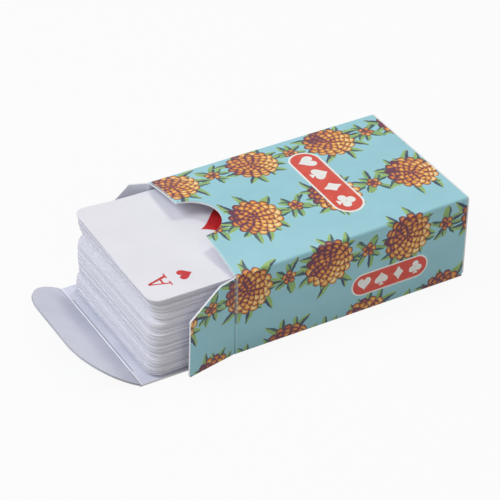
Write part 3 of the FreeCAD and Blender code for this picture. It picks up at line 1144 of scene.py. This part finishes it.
def cardInks(rank, suit):
    slot = redInkSlot if rank == "red" or suit in ("hearts", "diamonds") else blackInkSlot
    pipX, pipY, pipSize = card["indexPip"]
    column, row, size = card["pipColumn"], card["pipRows"], card["pipSize"]
    shapes = []
    layout = [(pipX, pipY, 0, pipSize), (-pipX, -pipY, 180, pipSize)]
    if rank == "ace":
        layout.append((0, 0, 180, card["acePip"]))
    elif rank in pipRows:
        # Pips below the middle stand on their heads
        for y, count in pipRows[rank].items():
            sides = (0,) if count == 1 else (-1, 1)
            layout += [(x * column, y * row, 180 if y < 0 else 0, size) for x in sides]
    else:
        away, share = card["courtPip"]
        layout += [(0, away, 0, size * share), (0, -away, 180, size * share)]
        shapes += frameShapes(*card["frame"])
    shapes += layPips(suit, layout)
    indexX, indexY = card["indexPlace"]
    height = card["indexHeight"]
    for letter in letters.get(rank, []):
        # The card reads the same from either end
        moved = [(indexX + x * height, indexY + y * height) for x, y in letter]
        shapes += [moved, [(-x, -y) for x, y in moved]]
    # The face's up is the pack's way out, so its print is turned half round
    return [([Vector((-point[0], -point[1])) for point in shape], slot) for shape in shapes]


def cardLie(node):
    # Middle, underside and turn of a card, read from its solid
    spots = {(round(vert.co.x, 7), round(vert.co.y, 7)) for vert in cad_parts[node].data.vertices}
    places = np.array(sorted(spots)) / mm
    low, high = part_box(node)
    middle = (low + high) / 2 / mm
    x, y = (places - [middle.x, middle.y]).T
    turn = -0.5 * atan2(2 * (x * y).sum(), (y ** 2).sum() - (x ** 2).sum())
    return Vector((middle.x, middle.y, low.z / mm)), turn


def makeCard(node):
    top = node == "ace_of_hearts"
    rank, _, suit = node.partition("_of_")
    if not suit:
        rank, suit = node.split("_")
    middle, turn = cardLie(node)
    soft = card["softEdge"]
    x, y = card["width"] / 2 - soft, card["length"] / 2 - soft
    radius = card["corner"] - soft
    outline = softCorners(rectangle(-x, x, -y, y, radius), card["cornerSteps"])
    columns, rows = [evenly(-half, half, gap) if top else [] for half, gap in zip((x, y), card["curlPitch"])]
    spots = [(a, b) for a in columns for b in rows]
    points, kept = cutSheet(stitched(outline, columns, rows), cardInks(rank, suit), spots)
    coreX, coreY = x - radius, y - radius
    rotate = Matrix.Rotation(turn, 3, "Z")

    def outset(point):
        core = Vector((min(max(point.x, -coreX), coreX), min(max(point.y, -coreY), coreY)))
        return point + (point - core).normalized() * soft

    def place(point, level):
        bend = min(max((-point.y - (card["length"] / 2 - card["curlReach"])) / card["curlReach"], 0), 1)
        left, right = card["curl"]
        lift = (left + (right - left) * (point.x / card["width"] + 0.5)) * bend ** 2 if top else 0
        return middle + rotate @ Vector((point.x, point.y, level + lift))

    count = len(points)
    rim = rimEdges(kept)
    ring = {corner: 2 * count + 2 * number for number, corner in enumerate(sorted({a for a, _ in rim}))}
    verts = [place(point, level) for level in (card["thick"], 0) for point in points]
    flat = points + points
    for corner in ring:
        wide = outset(points[corner])
        verts += [place(wide, card["thick"] - soft), place(wide, soft)]
        flat += [wide, wide]
    faces, slots = bothSides(kept, count, backSlot)
    for a, b in rim:
        levels = [(a, b), (ring[a], ring[b]), (ring[a] + 1, ring[b] + 1), (a + count, b + count)]
        faces += [[high[1], high[0], low[0], low[1]] for high, low in zip(levels, levels[1:])]
        slots += [edgeSlot] * 3
    piece = addMesh(f"card_{node}", verts, faces, slots, cardLooks, flat)
    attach(piece, node)
    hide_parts(node)
    return piece


deck = [makeCard(node) for node in sorted(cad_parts) if "_of_" in node or node.endswith("_joker")]
print("cards printed:", len(deck), "with", sum(len(piece.data.polygons) for piece in deck), "faces")


# Studio: pale floor, soft lamps, the photograph's camera

studio = {
    "floorSize": 6.0,
    "floorDrop": 0.02,
    "floorShade": rgb(208, 208, 210),
    "floorDull": 0.985,
    "floorClouds": 3.0,
    "floorRoughness": 0.9,
    "floorSpecular": 0.1,
    "cameraWhite": 0.93,
    "worldGlow": 0.29,
    "worldTint": rgb(255, 252, 242),
    "lamps": [  # name, place, aim, size and power in watts, tint
        ("keyLamp", (-0.16, 0.24, 0.7), (0, -0.01, 0.01), 0.2, 1.22, (1.0, 0.98, 0.97)),
        ("fillLamp", (-0.16, -0.5, 0.62), (0, -0.03, 0.01), 0.45, 3.4, (0.85, 0.9, 1.0)),
        ("sideLamp", (0.62, -0.1, 0.5), (0, -0.01, 0.01), 0.5, 0.8, (1.0, 0.99, 0.97)),
    ],
}
camera = {
    "place": (0.34332, -0.21616, 0.29473),
    "turn": (54.45789, -0.66597, 60.101),
    "lens": 156.89354,
    "sensor": 36.0,
    "clip": (0.01, 50),
}


def showWhite(tree, shader, kind, share, output):
    # The camera and reflections see plain white here, and the rest of the light sees the shader
    path = addNode("ShaderNodeLightPath", tree=tree)
    seen = calc("MAXIMUM", path["Is Camera Ray"], path["Is Glossy Ray"])
    seen = times(calc("MAXIMUM", seen, path["Is Transmission Ray"]), share)
    white = addNode(kind, {"Color": (1, 1, 1, 1)}, tree)[0]
    shown = addNode("ShaderNodeMixShader", {0: seen, 1: shader.outputs[0], 2: white})[0]
    tree.links.new(shown, tree.nodes[output].inputs["Surface"])


def makeFloor():
    material, tree = newMaterial("paleFloor")
    shader = tree.nodes["Principled BSDF"]
    shade = studio["floorShade"]
    dull = tuple(level * studio["floorDull"] for level in shade[:3]) + (1.0,)
    clouds = noise(objectPlace(tree), studio["floorClouds"], detail=2.0)
    tree.links.new(mix(clouds, dull, shade), shader.inputs["Base Color"])
    shader.inputs["Roughness"].default_value = studio["floorRoughness"]
    shader.inputs["Specular IOR Level"].default_value = studio["floorSpecular"]
    showWhite(tree, shader, "ShaderNodeEmission", studio["cameraWhite"], "Material Output")
    half = studio["floorSize"] / 2
    corners = rectangle(-half, half, -half, half, -studio["floorDrop"] * mm)
    floor = addObject("floor", newMesh("floor", corners, [(0, 1, 2, 3)]))
    floor.data.materials.append(material)


def makeWorld():
    scene.world = bpy.data.worlds.new("softRoom")
    scene.world.use_nodes = True
    tree = scene.world.node_tree
    background = tree.nodes["Background"]
    background.inputs["Color"].default_value = studio["worldTint"]
    background.inputs["Strength"].default_value = studio["worldGlow"]
    showWhite(tree, background, "ShaderNodeBackground", 1.0, "World Output")


makeFloor()
makeWorld()
for name, place, aim, size, power, tint in studio["lamps"]:
    light = bpy.data.lights.new(name, "AREA")
    light.shape = "DISK"
    light.size = size
    light.energy = power
    light.color = tint
    lamp = addObject(name, light)
    lamp.location = place
    lamp.rotation_euler = (Vector(aim) - Vector(place)).to_track_quat("-Z", "Y").to_euler()
lens = bpy.data.cameras.new("photoCamera")
lens.lens = camera["lens"]
lens.sensor_width = camera["sensor"]
lens.clip_start, lens.clip_end = camera["clip"]
scene.camera = addObject("photoCamera", lens)
scene.camera.location = camera["place"]
scene.camera.rotation_euler = [radians(angle) for angle in camera["turn"]]
print("studio lit with", len(studio["lamps"]), "lamps")
